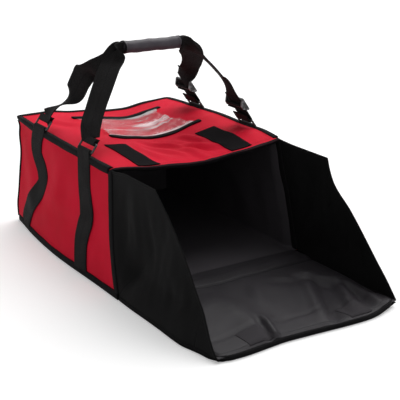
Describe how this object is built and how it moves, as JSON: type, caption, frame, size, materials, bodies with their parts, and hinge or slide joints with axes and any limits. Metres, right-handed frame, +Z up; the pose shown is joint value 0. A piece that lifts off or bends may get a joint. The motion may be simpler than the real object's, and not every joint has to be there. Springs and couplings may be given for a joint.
{
  "type": "pizza delivery bag",
  "caption": "Insulated carrier for boxed pizzas: padded box with a slanted mouth, front flap opened as a scoop between side gussets, ticket window and two-strap handle.",
  "frame": {"origin": "on the floor under the middle of the whole bag's bounding box, with the flap open", "axes": "+X across the mouth to the bag's right as the picture sees it from the front, +Y from the mouth to the back, +Z up"},
  "size_m": [0.418, 0.8082, 0.4364],
  "materials": {
    "red_nylon": "matte",
    "black_nylon": "matte",
    "foam": "matte",
    "lining": "satin",
    "flap_lining": "satin",
    "binding": "matte",
    "webbing": "matte",
    "hook_and_loop": "matte",
    "clear_film": "gloss",
    "coated_metal": "satin",
    "leatherette": "satin"
  },
  "bodies": {
    "box": {"base_cover": "black_nylon", "base_foam": "foam", "base_lining": "lining", "top_cover": "red_nylon", "top_foam": "foam", "top_lining": "lining", "left_cover": "red_nylon", "left_foam": "foam", "left_lining": "lining", "right_cover": "red_nylon", "right_foam": "foam", "right_lining": "lining", "back_cover": "red_nylon", "back_foam": "foam", "back_lining": "lining", "top_binding": "binding", "base_binding": "binding", "left_rear_binding": "binding", "right_rear_binding": "binding", "mouth_binding": "binding", "window_front_strip": "binding", "window_rear_strip": "binding", "window_film": "clear_film", "left_loop_patch": "hook_and_loop", "right_loop_patch": "hook_and_loop", "left_front_side_strap": "webbing", "right_front_side_strap": "webbing", "left_rear_side_strap": "webbing", "right_rear_side_strap": "webbing"},
    "flap": {"flap_cover": "black_nylon", "sill_pad": "foam", "flap_pad": "foam", "flap_lining": "flap_lining", "left_flap_binding": "binding", "right_flap_binding": "binding"},
    "lap": {"lap_cover": "black_nylon", "lap_pad": "foam", "lap_lining": "flap_lining", "lap_binding": "binding", "left_hook_tape": "hook_and_loop", "right_hook_tape": "hook_and_loop"},
    "handle": {"grip_wrap": "leatherette", "front_handle_strap": "webbing", "rear_handle_strap": "webbing"},
    "left_upper_gusset": {"left_upper_gusset": "black_nylon"},
    "left_lower_gusset": {"left_lower_gusset": "black_nylon"},
    "left_gusset_tip": {"left_gusset_tip": "black_nylon"},
    "left_front_ring": {"left_front_ring": "coated_metal"},
    "left_rear_ring": {"left_rear_ring": "coated_metal"},
    "right_upper_gusset": {"right_upper_gusset": "black_nylon"},
    "right_lower_gusset": {"right_lower_gusset": "black_nylon"},
    "right_gusset_tip": {"right_gusset_tip": "black_nylon"},
    "right_front_ring": {"right_front_ring": "coated_metal"},
    "right_rear_ring": {"right_rear_ring": "coated_metal"},
    "front_slider": {"front_slider": "coated_metal"},
    "rear_slider": {"rear_slider": "coated_metal"}
  },
  "joints": [
    {"name": "flap_lift", "type": "hinge", "parent": "box", "child": "flap", "pos_m": [0, -0.10705, 0.012], "axis": [-1, 0, 0], "range_deg": [0, 105.8], "deforming": ["left_upper_gusset", "left_lower_gusset", "left_gusset_tip", "right_upper_gusset", "right_lower_gusset", "right_gusset_tip"]},
    {"name": "lap_fold", "type": "hinge", "parent": "flap", "child": "lap", "pos_m": [0, -0.34808, 0.012], "axis": [-1, 0, 0], "range_deg": [0, 74.1]},
    {"name": "left_upper_gusset_fold", "type": "hinge", "parent": "box", "child": "left_upper_gusset", "pos_m": [-0.19925, -0.10376, 0.0126], "axis": [0, 0.2726, 0.9621], "range_deg": [0, 90]},
    {"name": "left_lower_gusset_fold", "type": "hinge", "parent": "flap", "child": "left_lower_gusset", "pos_m": [-0.19925, -0.10705, 0.0129], "axis": [0, 1, 0], "range_deg": [0, 90]},
    {"name": "left_gusset_tip_fold", "type": "hinge", "parent": "lap", "child": "left_gusset_tip", "pos_m": [-0.19925, -0.34808, 0.0129], "axis": [0, 1, 0], "range_deg": [0, 90]},
    {"name": "right_upper_gusset_fold", "type": "hinge", "parent": "box", "child": "right_upper_gusset", "pos_m": [0.19925, -0.10376, 0.0126], "axis": [0, -0.2726, -0.9621], "range_deg": [0, 90]},
    {"name": "right_lower_gusset_fold", "type": "hinge", "parent": "flap", "child": "right_lower_gusset", "pos_m": [0.19925, -0.10705, 0.0129], "axis": [0, -1, 0], "range_deg": [0, 90]},
    {"name": "right_gusset_tip_fold", "type": "hinge", "parent": "lap", "child": "right_gusset_tip", "pos_m": [0.19925, -0.34808, 0.0129], "axis": [0, -1, 0], "range_deg": [0, 90]},
    {"name": "handle_drop", "type": "slide", "parent": "box", "child": "handle", "axis": [0, 0, -1], "range_m": [0, 0.166], "deforming": ["front_handle_strap", "rear_handle_strap"]},
    {"name": "left_front_ring_tip", "type": "hinge", "parent": "box", "child": "left_front_ring", "pos_m": [-0.1975, 0.07285, 0.2466], "axis": [0, 1, 0], "range_deg": [0, 44]},
    {"name": "left_rear_ring_tip", "type": "hinge", "parent": "box", "child": "left_rear_ring", "pos_m": [-0.1975, 0.27285, 0.2466], "axis": [0, 1, 0], "range_deg": [0, 44]},
    {"name": "right_front_ring_tip", "type": "hinge", "parent": "box", "child": "right_front_ring", "pos_m": [0.1975, 0.07285, 0.2466], "axis": [0, -1, 0], "range_deg": [0, 44]},
    {"name": "right_rear_ring_tip", "type": "hinge", "parent": "box", "child": "right_rear_ring", "pos_m": [0.1975, 0.27285, 0.2466], "axis": [0, -1, 0], "range_deg": [0, 44]},
    {"name": "front_slider_travel", "type": "slide", "parent": "right_front_ring", "child": "front_slider", "axis": [-0.5878, 0, 0.809], "range_m": [-0.015, 0.04]},
    {"name": "rear_slider_travel", "type": "slide", "parent": "right_rear_ring", "child": "rear_slider", "axis": [-0.5878, 0, 0.809], "range_m": [-0.015, 0.04]}
  ],
  "couplings": [
    {"joint": "left_upper_gusset_fold", "follows": "flap_lift", "ratio": 0.85},
    {"joint": "left_lower_gusset_fold", "follows": "flap_lift", "ratio": 0.85},
    {"joint": "left_gusset_tip_fold", "follows": "flap_lift", "ratio": 0.85},
    {"joint": "right_upper_gusset_fold", "follows": "flap_lift", "ratio": 0.85},
    {"joint": "right_lower_gusset_fold", "follows": "flap_lift", "ratio": 0.85},
    {"joint": "right_gusset_tip_fold", "follows": "flap_lift", "ratio": 0.85},
    {"joint": "left_front_ring_tip", "follows": "handle_drop", "rad_per_m": 4.62},
    {"joint": "left_rear_ring_tip", "follows": "handle_drop", "rad_per_m": 4.62},
    {"joint": "right_front_ring_tip", "follows": "handle_drop", "rad_per_m": 4.62},
    {"joint": "right_rear_ring_tip", "follows": "handle_drop", "rad_per_m": 4.62}
  ]
}
